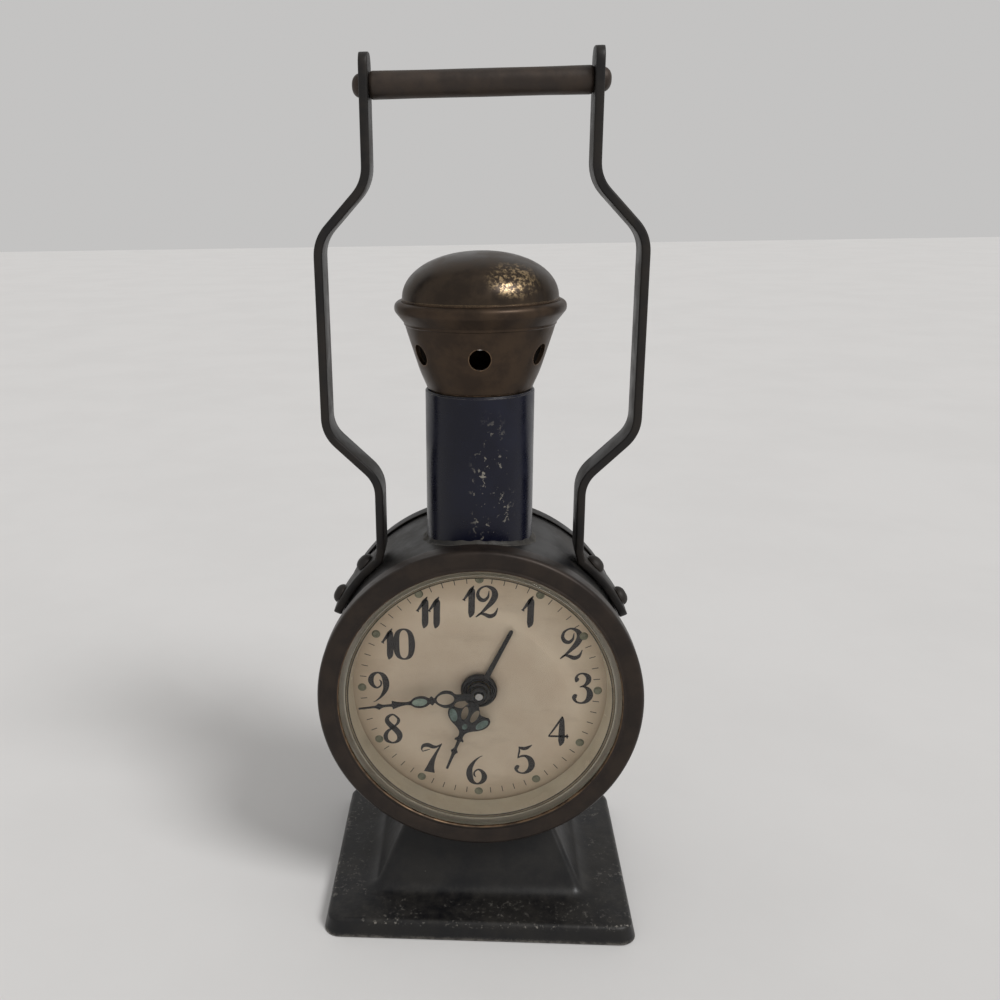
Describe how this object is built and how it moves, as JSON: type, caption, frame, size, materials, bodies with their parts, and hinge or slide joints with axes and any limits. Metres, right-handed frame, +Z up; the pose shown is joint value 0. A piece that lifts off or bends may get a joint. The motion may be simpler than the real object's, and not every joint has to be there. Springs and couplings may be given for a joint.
{
  "type": "novelty alarm clock",
  "caption": "Wind-up alarm clock shaped like a railway lantern: drum case with dial on a plinth, vented chimney, strap handle, and keys, knobs and stop button behind.",
  "frame": {"origin": "on the standing surface, under the middle of the base's rim", "axes": "+Z up, the dial faces -Y, +X to the right as the dial is read"},
  "size_m": [0.0736, 0.058, 0.1955],
  "materials": {
    "case_paint": "black paint, satin, scuffed",
    "tube_paint": "navy-black paint, gloss, chipped",
    "bezel_bronze": "dark bronze, satin",
    "cap_bronze": "antique bronze, worn bright at edges",
    "strap_steel": "blackened steel, brown with wear",
    "cream_enamel": "glossy cream enamel",
    "dial_cream": "cream, matt, aged",
    "hand_black": "black",
    "crystal": "clear",
    "movement_brass": "plain",
    "movement_steel": "plain",
    "spring_steel": "blued"
  },
  "bodies": {
    "clock_case": {"base_plinth": "case_paint", "case_drum": "case_paint", "rear_cover": "case_paint", "chimney_tube": "tube_paint", "bezel_ring": "bezel_bronze", "vent_collar": "cap_bronze", "vent_dome": "cap_bronze", "handle_strap_left": "strap_steel", "handle_strap_right": "strap_steel", "handle_grip": "strap_steel", "grip_rivet_left": "strap_steel", "grip_rivet_right": "strap_steel", "strap_rivet_left_upper": "strap_steel", "strap_rivet_left_lower": "strap_steel", "strap_rivet_right_upper": "strap_steel", "strap_rivet_right_lower": "strap_steel", "reflector_ring": "cream_enamel", "dial": "dial_cream", "crystal": "crystal", "front_plate": "movement_brass", "rear_plate": "movement_brass", "pillar_left": "movement_brass", "pillar_right": "movement_brass", "pillar_lower": "movement_brass", "base_screw_front": "movement_steel", "base_screw_rear": "movement_steel", "drum_clamp_plate": "movement_steel", "cover_screw_left": "movement_steel", "cover_screw_right": "movement_steel", "cover_screw_lower": "movement_steel", "balance_bearing_screw": "movement_steel", "time_mainspring": "spring_steel", "alarm_mainspring": "spring_steel", "hairspring": "spring_steel"},
    "hand_setting": {"centre_arbor": "movement_steel", "minute_hand": "hand_black", "time_set_knob": "movement_brass"},
    "minute_wheel": {"minute_wheel": "movement_brass"},
    "hour_hand": {"hour_wheel": "movement_brass", "hour_hand": "hand_black"},
    "alarm_hand": {"alarm_wheel": "movement_brass", "alarm_hand": "hand_black"},
    "alarm_setting": {"alarm_set_arbor": "movement_steel", "alarm_set_knob": "movement_brass"},
    "time_winding": {"time_winding_arbor": "movement_steel", "time_winding_key": "movement_steel"},
    "alarm_winding": {"alarm_winding_arbor": "movement_steel", "alarm_winding_key": "movement_steel"},
    "time_great_wheel": {"time_great_wheel": "movement_brass"},
    "centre_wheel": {"centre_wheel": "movement_brass"},
    "third_wheel": {"third_wheel": "movement_brass"},
    "fourth_wheel": {"fourth_wheel": "movement_brass"},
    "escape_wheel": {"escape_wheel": "movement_steel"},
    "pallet_lever": {"pallet_lever": "movement_steel"},
    "balance_wheel": {"balance_wheel": "movement_brass"},
    "regulator_lever": {"regulator_lever": "movement_brass"},
    "alarm_great_wheel": {"alarm_great_wheel": "movement_brass"},
    "verge_wheel": {"verge_wheel": "movement_steel"},
    "alarm_hammer": {"alarm_hammer": "movement_steel"},
    "alarm_stop_button": {"alarm_stop_button": "movement_steel"}
  },
  "joints": [
    {"name": "minute_hand_turn", "type": "hinge", "parent": "clock_case", "child": "hand_setting", "pos_m": [0, 0, 0.057], "axis": [0, 1, 0], "continuous": true},
    {"name": "minute_wheel_turn", "type": "hinge", "parent": "clock_case", "child": "minute_wheel", "pos_m": [0.006, 0, 0.06739], "axis": [0, 1, 0], "continuous": true},
    {"name": "hour_hand_turn", "type": "hinge", "parent": "clock_case", "child": "hour_hand", "pos_m": [0, 0, 0.057], "axis": [0, 1, 0], "continuous": true},
    {"name": "alarm_hand_turn", "type": "hinge", "parent": "clock_case", "child": "alarm_hand", "pos_m": [0, 0, 0.057], "axis": [0, 1, 0], "continuous": true},
    {"name": "alarm_setting_turn", "type": "hinge", "parent": "clock_case", "child": "alarm_setting", "pos_m": [0, 0, 0.04382], "axis": [0, 1, 0], "continuous": true},
    {"name": "time_winding_turn", "type": "hinge", "parent": "clock_case", "child": "time_winding", "pos_m": [-0.01498, 0, 0.05033], "axis": [0, 1, 0], "continuous": true},
    {"name": "alarm_winding_turn", "type": "hinge", "parent": "clock_case", "child": "alarm_winding", "pos_m": [0.01498, 0, 0.05033], "axis": [0, 1, 0], "continuous": true},
    {"name": "time_great_wheel_turn", "type": "hinge", "parent": "clock_case", "child": "time_great_wheel", "pos_m": [-0.01498, 0, 0.05033], "axis": [0, 1, 0], "continuous": true},
    {"name": "centre_wheel_turn", "type": "hinge", "parent": "clock_case", "child": "centre_wheel", "pos_m": [0, 0, 0.057], "axis": [0, 1, 0], "continuous": true},
    {"name": "third_wheel_turn", "type": "hinge", "parent": "clock_case", "child": "third_wheel", "pos_m": [-0.009, 0, 0.066], "axis": [0, 1, 0], "continuous": true},
    {"name": "fourth_wheel_turn", "type": "hinge", "parent": "clock_case", "child": "fourth_wheel", "pos_m": [-0.00031, 0, 0.07329], "axis": [0, 1, 0], "continuous": true},
    {"name": "escape_wheel_turn", "type": "hinge", "parent": "clock_case", "child": "escape_wheel", "pos_m": [0.00984, 0, 0.06959], "axis": [0, 1, 0], "continuous": true},
    {"name": "pallet_lever_rock", "type": "hinge", "parent": "clock_case", "child": "pallet_lever", "pos_m": [0.01113, 0, 0.07565], "axis": [0, 1, 0], "range_deg": [-4, 4]},
    {"name": "balance_swing", "type": "hinge", "parent": "clock_case", "child": "balance_wheel", "pos_m": [0.0125, 0, 0.08211], "axis": [0, 1, 0], "range_deg": [-150, 150], "stiffness_Nm_per_rad": 0.0000017},
    {"name": "regulator_turn", "type": "hinge", "parent": "clock_case", "child": "regulator_lever", "pos_m": [0.0125, 0, 0.08211], "axis": [0, 1, 0], "range_deg": [-22, 22]},
    {"name": "alarm_great_wheel_turn", "type": "hinge", "parent": "clock_case", "child": "alarm_great_wheel", "pos_m": [0.01498, 0, 0.05033], "axis": [0, 1, 0], "continuous": true},
    {"name": "verge_wheel_turn", "type": "hinge", "parent": "clock_case", "child": "verge_wheel", "pos_m": [0.0187, 0, 0.06419], "axis": [0, 1, 0], "continuous": true},
    {"name": "hammer_swing", "type": "hinge", "parent": "clock_case", "child": "alarm_hammer", "pos_m": [0.0236, 0, 0.06831], "axis": [0, 1, 0], "range_deg": [-5, 5]},
    {"name": "stop_button_push", "type": "slide", "parent": "clock_case", "child": "alarm_stop_button", "axis": [0, 1, 0], "range_m": [-0.003, 0]}
  ],
  "couplings": [
    {"joint": "minute_wheel_turn", "follows": "minute_hand_turn", "ratio": -0.33333},
    {"joint": "hour_hand_turn", "follows": "minute_hand_turn", "ratio": 0.083333},
    {"joint": "alarm_setting_turn", "follows": "alarm_hand_turn", "ratio": -3.4286},
    {"joint": "third_wheel_turn", "follows": "fourth_wheel_turn", "ratio": -0.125},
    {"joint": "centre_wheel_turn", "follows": "fourth_wheel_turn", "ratio": 0.017857},
    {"joint": "time_great_wheel_turn", "follows": "fourth_wheel_turn", "ratio": -0.0044643},
    {"joint": "escape_wheel_turn", "follows": "fourth_wheel_turn", "ratio": -8},
    {"joint": "verge_wheel_turn", "follows": "alarm_great_wheel_turn", "ratio": -4}
  ]
}
